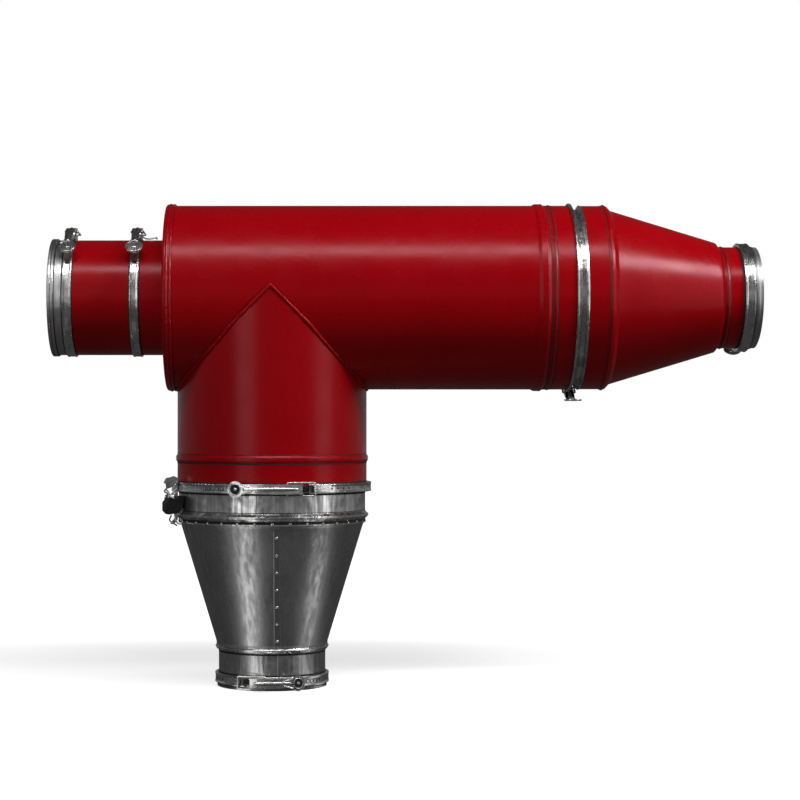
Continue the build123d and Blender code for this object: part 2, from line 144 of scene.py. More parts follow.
def add_piece(name, parts, finish, body="root", smooth=True):
    """One piece made of closed parts, each its points and its quads, that rides on a body."""
    starts = np.cumsum([0] + [len(points) for points, _ in parts[:-1]])
    points = np.concatenate([points for points, _ in parts])
    faces = np.concatenate([faces + start for (_, faces), start in zip(parts, starts)])
    piece = outward(make_mesh(name, points, faces, bpy.data.materials[finish], smooth))
    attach(piece, body)
    return piece


def tube(path, radius, sides, closed=False):
    """A round tube: each path point carries a circle across the path's own direction.

    The circle's first arm is square to the direction and to a fixed helper, so the tube
    doesn't twist on the short, nearly flat paths used here. radius may differ per point.
    """
    path = np.asarray(path, dtype=float)
    if closed:
        ahead = np.roll(path, -1, axis=0) - np.roll(path, 1, axis=0)
    else:
        ahead = np.gradient(path, axis=0)
    ahead /= np.linalg.norm(ahead, axis=1, keepdims=True)
    spread = np.abs(ahead).max(axis=0)
    helper = np.eye(3)[int(np.argmin(spread))]
    first = np.cross(ahead, helper)
    first /= np.linalg.norm(first, axis=1, keepdims=True)
    second = np.cross(ahead, first)
    turn = np.linspace(0, 2 * np.pi, sides, endpoint=False)
    radius = np.broadcast_to(np.asarray(radius, dtype=float), (len(path),))
    cosine, sine = np.cos(turn)[None, :, None], np.sin(turn)[None, :, None]
    ring = first[:, None] * cosine + second[:, None] * sine
    points = path[:, None] + ring * radius[:, None, None]
    if closed:
        return points.reshape(-1, 3), grid_faces(len(path), sides, True, True)
    caps = np.stack([np.repeat(path[:1], sides, axis=0), np.repeat(path[-1:], sides, axis=0)])
    points = np.concatenate([caps[:1], points, caps[1:]])
    return points.reshape(-1, 3), grid_faces(len(path) + 2, sides, False, True)


def circle(centre, axis, radius, count):
    """Points of a circle about an axis: c + r (u cos t + v sin t), with u and v square to it."""
    u = np.cross(axis, np.eye(3)[int(np.argmin(np.abs(axis)))])
    u /= np.linalg.norm(u)
    v = np.cross(axis, u)
    t = np.linspace(0, 2 * np.pi, count, endpoint=False)[:, None]
    return centre + radius * (u * np.cos(t) + v * np.sin(t))


def turned_profile(profile, centre, axis, sides):
    """A solid turned about a unit axis: profile rows are (height along the axis, radius)."""
    height, radius = np.asarray(profile, dtype=float).T[:, :, None, None]
    points = centre + axis * height + circle(np.zeros(3), axis, 1.0, sides) * radius
    return points.reshape(-1, 3), grid_faces(len(height), sides, False, True)


def rivet_profile(radius, height):
    """Half an ellipse: height = h * cos(t), radius = r * sin(t), closed by a flat foot."""
    t = np.linspace(0, np.pi / 2, 6)
    dome = np.stack([height * np.cos(t), radius * np.sin(t)], axis=1)
    foot = -0.4 * height
    return np.concatenate([[[height, 0]], dome[1:], [[foot, radius], [foot, 0]]])


def smooth_noise(length, step, seed):
    """Random heights between -1 and 1, one each step, joined by a cosine blend."""
    rng = np.random.default_rng(seed)
    knots = rng.uniform(-1, 1, int(np.ceil(length / step)) + 3)
    place = np.arange(length) / step
    low = place.astype(int)
    mix = (1 - np.cos(np.pi * (place - low))) / 2
    return knots[low] * (1 - mix) + knots[low + 1] * mix


def ring_noise(length, step, seed):
    """Smooth noise whose end meets its start, faded across the last stretch."""
    values = smooth_noise(length, step, seed)
    fade = np.clip((np.arange(length) - (length - 4 * step)) / (4 * step), 0, 1)
    return values * (1 - fade) + values[0] * fade


def ring_path(upright, place, radius, turn):
    """Points round a duct, at turn t, radius r and place p along its axis.

    They are (r cos t, r sin t, p) round the upright duct, and (p, r cos t, h + r sin t)
    round the air duct, whose axis is at the height h.
    """
    first, second = radius * np.cos(turn), radius * np.sin(turn)
    along = np.broadcast_to(place, first.shape)
    rows = (first, second, along) if upright else (along, first, AIR_Z + second)
    return np.stack(rows, axis=-1)


def flat_ring(upright, place, radius, width, height):
    """A thin band round a duct: a rectangle, width by height, turned about the duct's axis."""
    turn = np.linspace(0, 2 * np.pi, 180, endpoint=False)
    root, half = -0.6 * MM, width / 2
    corners = np.array([(-half, root), (-half, height), (half, height), (half, root)])
    points = ring_path(upright, place + corners[:, :1], radius + corners[:, 1:2], turn)
    return points.reshape(-1, 3), grid_faces(4, len(turn), True, True)


# Materials

def add_node(tree, kind, **values):
    """A new node whose named sockets are linked or set; underscores stand for spaces."""
    node = tree.nodes.new(kind)
    fill_sockets(tree, node, values)
    return node


def fill_sockets(tree, node, values):
    """Feeds the sockets with these names."""
    for key, value in values.items():
        feed(tree, node.inputs[key.replace("_", " ")], value)


def feed(tree, socket, value):
    """Links a socket to another node's socket, or sets it to a plain value."""
    if isinstance(value, bpy.types.NodeSocket):
        tree.links.new(value, socket)
    else:
        socket.default_value = value


class Shader:
    """A material's node tree, with short calls for the nodes used here."""

    def __init__(self, name):
        self.material = bpy.data.materials.new(name)
        self.material.use_nodes = True
        self.tree = self.material.node_tree
        self.surface = self.tree.nodes["Principled BSDF"]
        self.place = add_node(self.tree, "ShaderNodeTexCoord").outputs["Object"]

    def set(self, **values):
        """Links or sets the sockets of the material's own shader."""
        fill_sockets(self.tree, self.surface, values)

    def noise(self, scale, detail=4.0, stretch=None, rough=0.5, warp=0.0):
        """Cloudy noise in the object's space, which a stretch scales along x, y and z."""
        place = self.place
        if stretch:
            place = add_node(self.tree, "ShaderNodeMapping", Scale=stretch,
                             Vector=place).outputs["Vector"]
        return add_node(self.tree, "ShaderNodeTexNoise", Scale=scale, Detail=detail,
                        Roughness=rough, Distortion=warp, Vector=place).outputs["Fac"]

    def cells(self, scale):
        """A random number for each of many small cells."""
        cell = add_node(self.tree, "ShaderNodeTexVoronoi", Scale=scale, Vector=self.place)
        return add_node(self.tree, "ShaderNodeSeparateColor",
                        Color=cell.outputs["Color"]).outputs[0]

    def ramp(self, source, low, high, out_low=0.0, out_high=1.0):
        """From out_low to out_high as the source goes from low to high, by a smooth step."""
        node = add_node(self.tree, "ShaderNodeMapRange", Value=source, From_Min=low,
                        From_Max=high, To_Min=out_low, To_Max=out_high)
        node.interpolation_type = "SMOOTHSTEP"
        return node.outputs["Result"]

    def math(self, kind, first, second=0.0):
        """One operation on numbers or sockets."""
        node = add_node(self.tree, "ShaderNodeMath")
        node.operation = kind
        for socket, value in zip(node.inputs, (first, second)):
            feed(self.tree, socket, value)
        return node.outputs["Value"]

    def mix(self, factor, first, second):
        """The first colour at a factor of 0 and the second at 1."""
        node = add_node(self.tree, "ShaderNodeMix")
        node.data_type = "RGBA"
        feed(self.tree, node.inputs[0], factor)
        for socket, value in ((node.inputs[6], first), (node.inputs[7], second)):
            linked = isinstance(value, bpy.types.NodeSocket)
            feed(self.tree, socket, value if linked else (*value, 1.0))
        return node.outputs[2]

    def bump(self, height, strength, distance, after=None):
        """A surface direction bent by a height field, on top of the bump before it."""
        node = add_node(self.tree, "ShaderNodeBump", Height=height, Strength=strength,
                        Distance=distance)
        if after is not None:
            self.tree.links.new(after, node.inputs["Normal"])
        return node.outputs["Normal"]

    def painted_crevice_shade(self, distance, depth):
        """Painted shade: between 0 in the open and depth where other surfaces stand closer than the
        distance.
        """
        node = add_node(self.tree, "ShaderNodeAmbientOcclusion", Distance=distance)
        node.samples = 6
        return self.ramp(node.outputs["AO"], 0.35, 0.85, depth, 0.0)


def crimson_powder_coat(finish, name, specular, gloss, lumps):
    """Satin crimson coat: slight cloudiness, orange peel and fine scuffs, glossy on welds, with
    painted shade in crevices.
    """
    s = Shader(name)
    cloud = s.ramp(s.noise(7.0, 3.0), 0.3, 0.7)
    colour = s.mix(cloud, finish.paint_deep, finish.paint_light)
    scuff = s.ramp(s.noise(55.0, 6.0, (1, 1, 0.25), 0.65), 0.66, 0.78)
    colour = s.mix(s.math("MULTIPLY", scuff, 0.06), colour, finish.paint_scuff)
    # Painted shade: the coat darkens where other surfaces stand close
    colour = s.mix(s.painted_crevice_shade(0.012, 0.8), colour, (0.03, 0.0008, 0.001))
    satin = finish.paint_roughness - gloss
    rough = s.ramp(s.noise(16.0, 5.0), 0.25, 0.75, satin - 0.03, satin + 0.05)
    rough = s.math("ADD", rough, s.math("MULTIPLY", scuff, 0.04))
    peel = s.bump(s.noise(900.0, 2.0), 0.05, 0.0006)
    wave = s.bump(s.noise(5.5, 2.0), 0.06, 0.02, peel)
    if lumps:
        wave = s.bump(s.noise(230.0, 3.0), lumps, 0.002, wave)
    s.set(Base_Color=colour, Roughness=rough, Normal=wave, Specular_IOR_Level=specular,
          Specular_Tint=(1.0, 0.68, 0.76, 1.0))
    return s.material


def zinc_sheet(name, dark, light, roughness, along, spangle, dented):
    """Rolled zinc sheet: streaks along one axis, broad stains, faint crystal patches and painted
    shade in crevices.
    """
    s = Shader(name)
    stretch = {"z": (1, 1, 0.035), "x": (1, 0.05, 0.05)}[along]
    streak = s.ramp(s.noise(95.0, 5.0, stretch, 0.6), 0.3, 0.72)
    stain = s.ramp(s.noise(9.0, 5.0, (1, 1, 0.6), 0.6, 0.4), 0.35, 0.75)
    stained = s.math("MULTIPLY", stain, 0.3 * dented)
    colour = s.mix(stained, s.mix(streak, dark, light), tuple(0.6 * v for v in dark))
    colour = s.mix(s.math("MULTIPLY", s.cells(85.0), spangle), colour, light)
    # Painted shade: the zinc darkens where other surfaces stand close
    colour = s.mix(s.painted_crevice_shade(0.01, 0.85), colour, (0.03, 0.029, 0.028))
    rough = s.ramp(streak, 0.0, 1.0, roughness + 0.1, roughness - 0.04)
    rough = s.math("ADD", rough, s.math("MULTIPLY", stain, 0.1))
    grain = s.bump(s.noise(420.0, 3.0, stretch, 0.6), 0.12, 0.0004)
    wave_stretch = {"z": (1, 1, 0.12), "x": (0.12, 1, 1)}[along]
    waves = s.bump(s.noise(26.0, 3.0, wave_stretch), 0.3 * dented, 0.006, grain)
    dents = s.bump(s.noise(12.0, 3.0, (1, 1, 0.7)), 0.35 * dented, 0.012, waves)
    s.set(Base_Color=colour, Roughness=rough, Normal=dents, Metallic=1.0, Anisotropic=0.3)
    return s.material


def clamp_steel(finish, name, along, bright=0.0):
    """Plated clamp steel: fine scratches round the band, dull pits and painted shade in crevices.
    """
    s = Shader(name)
    stretch = {"z": (0.08, 0.08, 1), "x": (1, 0.08, 0.08)}[along]
    scratch = s.noise(600.0, 3.0, stretch, 0.6)
    stain = s.ramp(s.noise(45.0, 5.0, None, 0.6, 0.3), 0.45, 0.75)
    light = tuple(min(0.9, v + bright) for v in finish.clamp_light)
    colour = s.mix(stain, light, tuple(v + bright for v in finish.clamp_dark))
    # Painted shade: the steel darkens where other surfaces stand close
    colour = s.mix(s.painted_crevice_shade(0.007, 0.95), colour, (0.012, 0.0115, 0.011))
    rough = s.math("ADD", s.ramp(scratch, 0.3, 0.7, 0.19, 0.32), s.math("MULTIPLY", stain, 0.12))
    dents = s.bump(s.noise(30.0, 3.0), 0.5, 0.004)
    scratches = s.bump(scratch, 0.1, 0.0003, dents)
    s.set(Base_Color=colour, Roughness=rough, Normal=scratches, Metallic=1.0)
    return s.material


def black_rubber(finish):
    """Matt black rubber with worn, greyer patches."""
    s = Shader("black_rubber")
    wear = s.ramp(s.noise(60.0, 5.0), 0.5, 0.75)
    rough = s.ramp(s.noise(150.0, 3.0), 0.3, 0.7, 0.42, 0.6)
    s.set(Base_Color=s.mix(wear, finish.rubber, finish.rubber_worn), Roughness=rough,
          Normal=s.bump(s.noise(700.0, 3.0), 0.2, 0.0004))
    return s.material


def dark_hole_and_painted_shade():
    """The dark of a punched hole, and painted shade in gaps, under paddles, round stampings and on
    dished handle faces.
    """
    s = Shader("dark_hole_and_painted_shade")
    s.set(Base_Color=s.mix(s.noise(300.0), (0.006, 0.006, 0.007), (0.02, 0.019, 0.018)),
          Roughness=0.7)


def smooth_cad_group():
    """Joins a CAD mesh's loose triangles and shades it smooth, with sharp edges kept at folds."""
    group = bpy.data.node_groups.get("merge_and_shade")
    if group:
        return group
    group = bpy.data.node_groups.new("merge_and_shade", "GeometryNodeTree")
    group.is_modifier = True
    group.interface.new_socket("Geometry", in_out="INPUT", socket_type="NodeSocketGeometry")
    group.interface.new_socket("Geometry", in_out="OUTPUT", socket_type="NodeSocketGeometry")
    nodes, links = group.nodes, group.links
    source, sink = nodes.new("NodeGroupInput"), nodes.new("NodeGroupOutput")
    merge = nodes.new("GeometryNodeMergeByDistance")
    merge.inputs["Distance"].default_value = 2e-6
    angle = nodes.new("GeometryNodeInputMeshEdgeAngle")
    gentle = nodes.new("FunctionNodeCompare")
    gentle.operation = "LESS_THAN"
    gentle.inputs[1].default_value = np.radians(24)
    edges, faces = nodes.new("GeometryNodeSetShadeSmooth"), nodes.new("GeometryNodeSetShadeSmooth")
    edges.domain, faces.domain = "EDGE", "FACE"
    links.new(source.outputs[0], merge.inputs[0])
    links.new(merge.outputs[0], edges.inputs[0])
    links.new(angle.outputs["Unsigned Angle"], gentle.inputs[0])
    links.new(gentle.outputs[0], edges.inputs["Shade Smooth"])
    links.new(edges.outputs[0], faces.inputs[0])
    links.new(faces.outputs[0], sink.inputs[0])
    return group


def dress(node, finish_material):
    """Gives a CAD node its material and smooth shading; its own mesh stays as it is."""
    piece = frame["nodes"][node]
    for place in piece.material_slots:
        place.link = "OBJECT"
        place.material = finish_material
    if not piece.material_slots:
        piece.data.materials.append(finish_material)
    shading = piece.modifiers.new("merge_and_shade", "NODES")
    shading.node_group = smooth_cad_group()


# Settings that a user would change

class CycloneSizes(bpy.types.PropertyGroup):
    rivet_radius: bpy.props.FloatProperty(
        name="Rivet radius", description="Radius of the hopper's rivet heads",
        default=3.2 * MM, unit="LENGTH")
    rivet_height: bpy.props.FloatProperty(
        name="Rivet height", description="How far the rivet heads stand out",
        default=1.6 * MM, unit="LENGTH")
    rivet_pitch: bpy.props.FloatProperty(
        name="Rivet pitch", description="Distance between rivets",
        default=37 * MM, unit="LENGTH")
    weld_radius: bpy.props.FloatProperty(
        name="Weld radius", description="Half the width of the weld beads",
        default=4.3 * MM, unit="LENGTH")
    seam_width: bpy.props.FloatProperty(
        name="Lap seam width", description="Width of the cone's lap seam",
        default=14 * MM, unit="LENGTH")
    floor_half: bpy.props.FloatProperty(
        name="Floor half size", description="Half the width of the floor",
        default=14.0, unit="LENGTH")


class CycloneFinish(bpy.types.PropertyGroup):
    paint_deep: bpy.props.FloatVectorProperty(
        name="Deep paint", description="Darker tone of the coat",
        subtype="COLOR", default=(0.375, 0.0004, 0.0035))
    paint_light: bpy.props.FloatVectorProperty(
        name="Light paint", description="Lighter tone of the coat",
        subtype="COLOR", default=(0.4, 0.0006, 0.0042))
    paint_scuff: bpy.props.FloatVectorProperty(
        name="Scuffed paint", description="Tone of rubbed spots",
        subtype="COLOR", default=(0.5, 0.03, 0.035))
    paint_roughness: bpy.props.FloatProperty(
        name="Paint roughness", description="Gloss of the coat",
        default=0.25, subtype="FACTOR")
    clamp_light: bpy.props.FloatVectorProperty(
        name="Bright clamp", description="Bright plating",
        subtype="COLOR", default=(0.8, 0.795, 0.79))
    clamp_dark: bpy.props.FloatVectorProperty(
        name="Dull clamp", description="Stained plating",
        subtype="COLOR", default=(0.4, 0.395, 0.39))
    rubber: bpy.props.FloatVectorProperty(
        name="Rubber", description="Black grip",
        subtype="COLOR", default=(0.012, 0.012, 0.013))
    rubber_worn: bpy.props.FloatVectorProperty(
        name="Worn rubber", description="Greyer worn patches",
        subtype="COLOR", default=(0.035, 0.034, 0.034))


# Pieces

class CYCLONE_OT_finishes(bpy.types.Operator):
    """Makes the materials and gives each CAD node its finish"""

    bl_idname = "cyclone.finishes"
    bl_label = "Paint and Zinc"

    def execute(self, context):
        finish = context.scene.cyclone_finish
        crimson = crimson_powder_coat(finish, "crimson_powder_coat", 0.26, 0.0, 0.0)
        crimson_powder_coat(finish, "crimson_weld_coat", 0.9, 0.15, 0.8)
        bright = zinc_sheet("bright_zinc", (0.45, 0.45, 0.455), (0.88, 0.875, 0.87),
                            0.21, "z", 0.15, 1.5)
        bright_duct = zinc_sheet("bright_zinc_duct", (0.4, 0.4, 0.41), (0.78, 0.78, 0.79),
                                 0.33, "x", 0.2, 0.8)
        dull = zinc_sheet("dull_zinc", (0.42, 0.42, 0.425), (0.72, 0.715, 0.71),
                          0.28, "z", 0.1, 0.2)
        steel_z = clamp_steel(finish, "clamp_steel_upright", "z")
        steel_x = clamp_steel(finish, "clamp_steel_duct", "x")
        lever_z = clamp_steel(finish, "lever_steel_upright", "z", 0.08)
        lever_x = clamp_steel(finish, "lever_steel_duct", "x", 0.08)
        rubber = black_rubber(finish)
        dark_hole_and_painted_shade()
        for nodes, chosen in ((RED_NODES, crimson), (BRIGHT_NODES, bright),
                              (BRIGHT_DUCT_NODES, bright_duct), (("hopper_cone",), dull)):
            for node in nodes:
                dress(node, chosen)
        for clamps, steel, lever in ((ALONG_X, steel_x, lever_x), (UPRIGHT, steel_z, lever_z)):
            for clamp in clamps:
                for part, chosen in (("band", steel), ("bracket", steel), ("lever", lever),
                                     ("bail", lever)):
                    dress(f"{clamp}_{part}", chosen)
        dress("side_catch_strap", steel_z)
        dress("side_catch_grip", rubber)
        return {"FINISHED"}


# piece, place along the air duct (m), radius of the ring and of the bead (m), random seed
WELD_RINGS = (
    ("end_plate_edge_bead", PLATE_LOW[0] + 6.8 * MM, 201.8 * MM, 2.8 * MM, 21),
    ("end_plate_inner_bead", PLATE_LOW[0] + 14.6 * MM, 201.2 * MM, 2.6 * MM, 41),
    ("outlet_stub_bead", PLATE_LOW[0] - 1.0 * MM, STUB_RADIUS - 1.0 * MM, 2.6 * MM, 31),
)


class CYCLONE_OT_weld_beads(bpy.types.Operator):
    """Rippled weld beads along the V of the leg, round the end plate and round the outlet stub"""

    bl_idname = "cyclone.weld_beads"
    bl_label = "Weld Beads"

    def execute(self, context):
        width = context.scene.cyclone_sizes.weld_radius
        seam = v_seam_path(700)
        count = len(seam)
        ripple = 1 + 0.12 * smooth_noise(count, 3, 5) + 0.08 * smooth_noise(count, 11, 6)
        bead = add_piece("leg_seam_bead", [tube(seam, width * ripple, 12, closed=True)],
                         "crimson_powder_coat")
        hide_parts("leg_seam_weld")
        turn = np.linspace(0, 2 * np.pi, 900, endpoint=False)
        for name, x, radius, size, seed in WELD_RINGS:
            wobble = radius + 0.15 * MM * ring_noise(len(turn), 9, seed)
            lumps = size * (1 + 0.14 * ring_noise(len(turn), 5, seed + 1))
            ring = tube(ring_path(False, x, wobble, turn), lumps, 8, closed=True)
            add_piece(name, [ring], "crimson_weld_coat")
        return {"FINISHED"}


def v_seam_path(count):
    """Where the leg meets the barrel: round the leg's angle a, x = R sin(a), y = -R cos(a).

    The height from the barrel's axis is the mitre line, rise - |x|. Past the shoulder it is
    the lower one of that line and the barrel's skin, -sqrt(B^2 - y^2). Before the shoulder the
    bead lies on the leg's skin or the barrel's, whichever is further out.
    """
    a = np.linspace(0, 2 * np.pi, count, endpoint=False)
    x, y = LEG_RADIUS * np.sin(a), -LEG_RADIUS * np.cos(a)
    skin = -np.sqrt(np.clip(BARREL_RADIUS ** 2 - y ** 2, 0, None))
    height = np.minimum(MITRE_RISE - np.abs(x), np.where(np.abs(x) > MITRE_SHOULDER, skin, 1.0))
    barrel = np.sqrt(np.clip(BARREL_RADIUS ** 2 - height ** 2, 0, None))
    outermost = np.maximum(np.abs(y) - 1.0 * MM, barrel)
    y = np.sign(y) * np.where(np.abs(x) < MITRE_SHOULDER, outermost, np.abs(y))
    return np.stack([x, y, AIR_Z + height], axis=1)


class CYCLONE_OT_hopper_seams(bpy.types.Operator):
    """Rivets round the hopper's top and down its lap seam, with the seam's strip"""

    bl_idname = "cyclone.hopper_seams"
    bl_label = "Hopper Seams and Rivets"

    def execute(self, context):
        sizes = context.scene.cyclone_sizes
        profile = rivet_profile(sizes.rivet_radius, sizes.rivet_height)
        ring_z = COLLAR_LOW[2] + 3.4 * MM
        count = round(2 * np.pi * HOPPER_RADIUS / sizes.rivet_pitch)
        rivets = []
        for angle in np.linspace(0, 2 * np.pi, count, endpoint=False) + 0.02:
            out = np.array([np.sin(angle), -np.cos(angle), 0.0])
            rivets.append(turned_profile(profile, out * HOPPER_RADIUS + [0, 0, ring_z], out, 12))
        for z in np.linspace(*CONE_RIVETS):
            out, place = cone_place(CONE_SEAM_X, z, 1.2 * MM)
            rivets.append(turned_profile(profile, place, out, 12))
        add_piece("hopper_rivets", rivets, "lever_steel_upright")
        strip = cone_strip(CONE_SEAM_X, sizes.seam_width, 0.8 * MM)
        add_piece("hopper_lap_seam", [strip], "dull_zinc", smooth=False)
        return {"FINISHED"}


def cone_radius(z):
    """Outer radius of the hopper cone at a height, straight from its foot to its top."""
    return CONE_FOOT[0] + (z - CONE_FOOT[1]) * CONE_SLOPE


def cone_place(x, z, lift):
    """Outward direction at the cone's front at x and z, and the point lifted off it."""
    radius = cone_radius(z)
    angle = np.arcsin(x / radius)
    out = np.array([np.sin(angle), -np.cos(angle), -CONE_SLOPE])
    out /= np.linalg.norm(out)
    return out, np.array([radius * np.sin(angle), -radius * np.cos(angle), z]) + out * lift


def cone_strip(x, width, thick):
    """A thin closed strip that lies on the cone's front from its top to its foot."""
    z = np.linspace(*CONE_SEAM_ENDS, 60)
    radius = cone_radius(z)
    count = 9
    across = np.linspace(-0.5, 0.5, count) * width
    angle = (x + across[None, :]) / radius[:, None]
    edge = np.clip((width / 2 - np.abs(across)) / (0.8 * MM), 0, 1)[None, :]
    outer = radius[:, None] + thick * (0.3 + 0.7 * edge)
    inner = np.broadcast_to(radius[:, None] - 0.6 * MM, outer.shape)
    height = np.repeat(z[:, None], count, axis=1)
    rows = [np.stack([r * np.sin(a), -r * np.cos(a), height], axis=-1)
            for r, a in ((outer, angle), (inner, angle[:, ::-1]))]
    k = np.arange(count - 1)
    around, last = 2 * count, 2 * count - 1
    ends = [np.stack([start + k, start + k + 1, start + last - 1 - k, start + last - k], axis=1)
            for start in (0, (len(z) - 1) * around)]
    faces = np.concatenate([grid_faces(len(z), around, False, True), *ends])
    return np.concatenate(rows, axis=1).reshape(-1, 3), faces


def turned(vector, axis, angle):
    """The vector turned about a unit axis: v cos t + (a x v) sin t + a (a.v)(1 - cos t)."""
    return (vector * np.cos(angle) + np.cross(axis, vector) * np.sin(angle)
            + axis * np.dot(axis, vector) * (1 - np.cos(angle)))


class Latch:
    """Places on one clamp's latch, measured along the band from the lever's pivot."""

    def __init__(self, clamp):
        hinge = JOINTS[f"{clamp}_lever_hinge"]
        self.pivot, self.axis = np.array(hinge["pos_m"]), np.array(hinge["axis"])
        low, high = (np.array(c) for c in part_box(f"{clamp}_band"))
        centre = (low + high) / 2
        self.centre = centre + self.axis * np.dot(self.pivot - centre, self.axis)
        self.arm = self.pivot - self.centre
        self.ring = float(np.linalg.norm(self.arm))

    def out(self, along):
        """Outward direction at a distance along the band, positive towards the hook."""
        return turned(self.arm / self.ring, self.axis, along / self.ring)

    def at(self, along, radius, across=0.0):
        """A point at a distance along the band, at a radius from the duct's axis."""
        return self.centre + self.out(along) * radius + self.axis * across


def box_on(latch, along, radius, across, size):
    """A small flat box standing on the band: size is along, across and outward, in mm."""
    square = ((-1, -1), (1, -1), (1, 1), (-1, 1))
    corners = np.array([[x, y, z] for z in (0, 1) for x, y in square], float)
    out = latch.out(along)
    tangent = np.cross(latch.axis, out)
    length, width, height = (value * MM for value in size)
    points = (latch.at(along, radius, across) + corners[:, :1] * tangent * length / 2
              + corners[:, 1:2] * latch.axis * width / 2 + corners[:, 2:] * out * height)
    faces = np.array([[0, 3, 2, 1], [4, 5, 6, 7], [0, 1, 5, 4], [1, 2, 6, 5], [2, 3, 7, 6],
                      [3, 0, 4, 7]])
    return points, faces


def arc_path(latch, start, end, radius, count):
    """A line that follows the band between two distances from the pivot."""
    return np.array([latch.at(a, radius) for a in np.linspace(start, end, count)])


# clamp, distance from the pivot to the handle's centre (m), handle radius (m), kind of handle
HEADS = (
    ("outlet_end_clamp", 124 * MM, 19 * MM, "bell"),
    ("outlet_duct_clamp", 124 * MM, 19 * MM, "bell"),
    ("inlet_clamp", 124 * MM, 19 * MM, "bell"),
    ("barrel_clamp", 100 * MM, 20 * MM, "leaf"),
    ("leg_clamp", 139 * MM, 17 * MM, "disc"),
    ("dust_outlet_clamp", 102 * MM, 16.5 * MM, "shield"),
)

# kind of a round handle: the share of the handle's radius painted dark as the shade in its dished
# face
ROUND_HEADS = {"disc": 0.6, "shield": 0.82}
PIVOT_CAP_OUT = 11.5 * MM


def head_rings(centre, out, radius, style):
    """The pressed ring and boss of a handle, with a row of dots round the shield."""
    if style in ROUND_HEADS:
        share, sides, boss, boss_sides = 0.66, 28, rivet_profile(3.6 * MM, 2.0 * MM), 16
    else:
        share, sides, boss, boss_sides = 0.86, 40, rivet_profile(radius * 0.28, 0.9 * MM), 14
    ring = circle(centre + out * 0.1 * MM, out, radius * share, sides)
    parts = [tube(ring, 1.1 * MM, 8, closed=True), turned_profile(boss, centre, out, boss_sides)]
    if style == "shield":
        dot = rivet_profile(1.1 * MM, 0.7 * MM)
        parts += [turned_profile(dot, point, out, 8)
                  for point in circle(centre, out, radius * 0.86, 10)]
    return parts


def lever_rib(latch, start, skin):
    """The rib down a lever: its radius is thin + more * sqrt(sin(pi t)) from end to end."""
    count, thin, more = 40, 4.1 * MM, 1.2 * MM
    t = np.linspace(0, 1, count)
    path = arc_path(latch, start, -6 * MM, skin - 3.2 * MM, count)
    return tube(path, thin + more * np.sin(np.pi * t) ** 0.5, 16)


def head_forks(latch, head, radius, skin):
    """The two wires that run together from a round handle into the lever's rib."""
    count = 16
    middle = arc_path(latch, head + radius * 0.75, head + radius * 2.1, skin - 0.5 * MM, count)
    spread = np.linspace(radius * 0.62, 3.0 * MM, count)[:, None]
    return [tube(middle + side * spread * latch.axis, 1.7 * MM, 10) for side in (-1, 1)]


class CYCLONE_OT_lever_heads(bpy.types.Operator):
    """Pressed rings, bosses and ribs on the handles of the levers, with the caps of their pivots"""

    bl_idname = "cyclone.lever_heads"
    bl_label = "Lever Heads"

    def execute(self, context):
        cap = rivet_profile(2.4 * MM, 0.9 * MM)
        for clamp, reach, radius, style in HEADS:
            latch = Latch(clamp)
            finish = "lever_steel_duct" if clamp in ALONG_X else "lever_steel_upright"
            head = -reach * latch.ring / (latch.ring + LEVER_MIDDLE)
            skin = latch.ring + LEVER_MIDDLE + LEVER_SHEET
            out = latch.out(head)
            centre = latch.centre + out * skin
            parts = head_rings(centre, out, radius, style)
            parts.append(lever_rib(latch, head + radius * 0.95, skin))
            if style in ROUND_HEADS:
                parts += head_forks(latch, head, radius, skin)
                # Painted shade: a dark disc stands for the shade in the handle's dished face
                low, high, wide = -0.5 * MM, 0.3 * MM, radius * ROUND_HEADS[style]
                face = [(low, 0), (low, wide), (high, wide), (high, 0)]
                add_piece(f"{clamp}_head_face", [turned_profile(face, centre, out, 32)],
                          "dark_hole_and_painted_shade", f"{clamp}_lever", smooth=False)
            add_piece(f"{clamp}_head_trim", parts, finish, f"{clamp}_lever")
            caps = [turned_profile(cap, latch.pivot + side * PIVOT_CAP_OUT, side, 12)
                    for side in (-latch.axis, latch.axis)]
            add_piece(f"{clamp}_pivot_caps", caps, finish)
        return {"FINISHED"}


# clamp, band radius (m), first stamping and first hole, measured from the pivot (m)
BANDS = (
    ("leg_clamp", 217 * MM, -178 * MM, 84 * MM),
    ("dust_outlet_clamp", 124.5 * MM, -136 * MM, 84 * MM),
)
STAMP_PITCH = 12 * MM
HOLE_PITCH = 18 * MM
HOLE_PROFILE = np.array([(0, 0), (0, 2.2), (0.5, 2.2), (0.5, 0)]) * MM

# Boxes on the bands: length along the band, width across it and height (mm)
STAMP = (5.4, 5.6, 1.6)
# The dark box round each stamping is painted shade
STAMP_HOLLOW_SHADE = (8.4, 8.0, 0.9)
# Painted shadow of a paddle on its band
PADDLE_SHADOW = (8, 8, 0.8)
# Painted shade between a band's two ends
GAP_SHADE_STRIP = (17, 3.3, 0.5)


def gap_shade_strips(clamp):
    """Dark strips of painted shade side by side between a band's two ends; the barrel clamp has the
    middle two.
    """
    latch = Latch(clamp)
    skin, depth, places = latch.ring - 15 * MM, 3.4 * MM, (-5.2, -1.8, 1.8, 5.2)
    if clamp == "barrel_clamp":
        skin, depth, places = 201.5 * MM, 10.6 * MM, (-1.8, 1.8)
    middle = 2 * MM + 13.7 * MM * latch.ring / skin
    return [box_on(latch, middle, skin - depth, across * MM, GAP_SHADE_STRIP) for across in places]


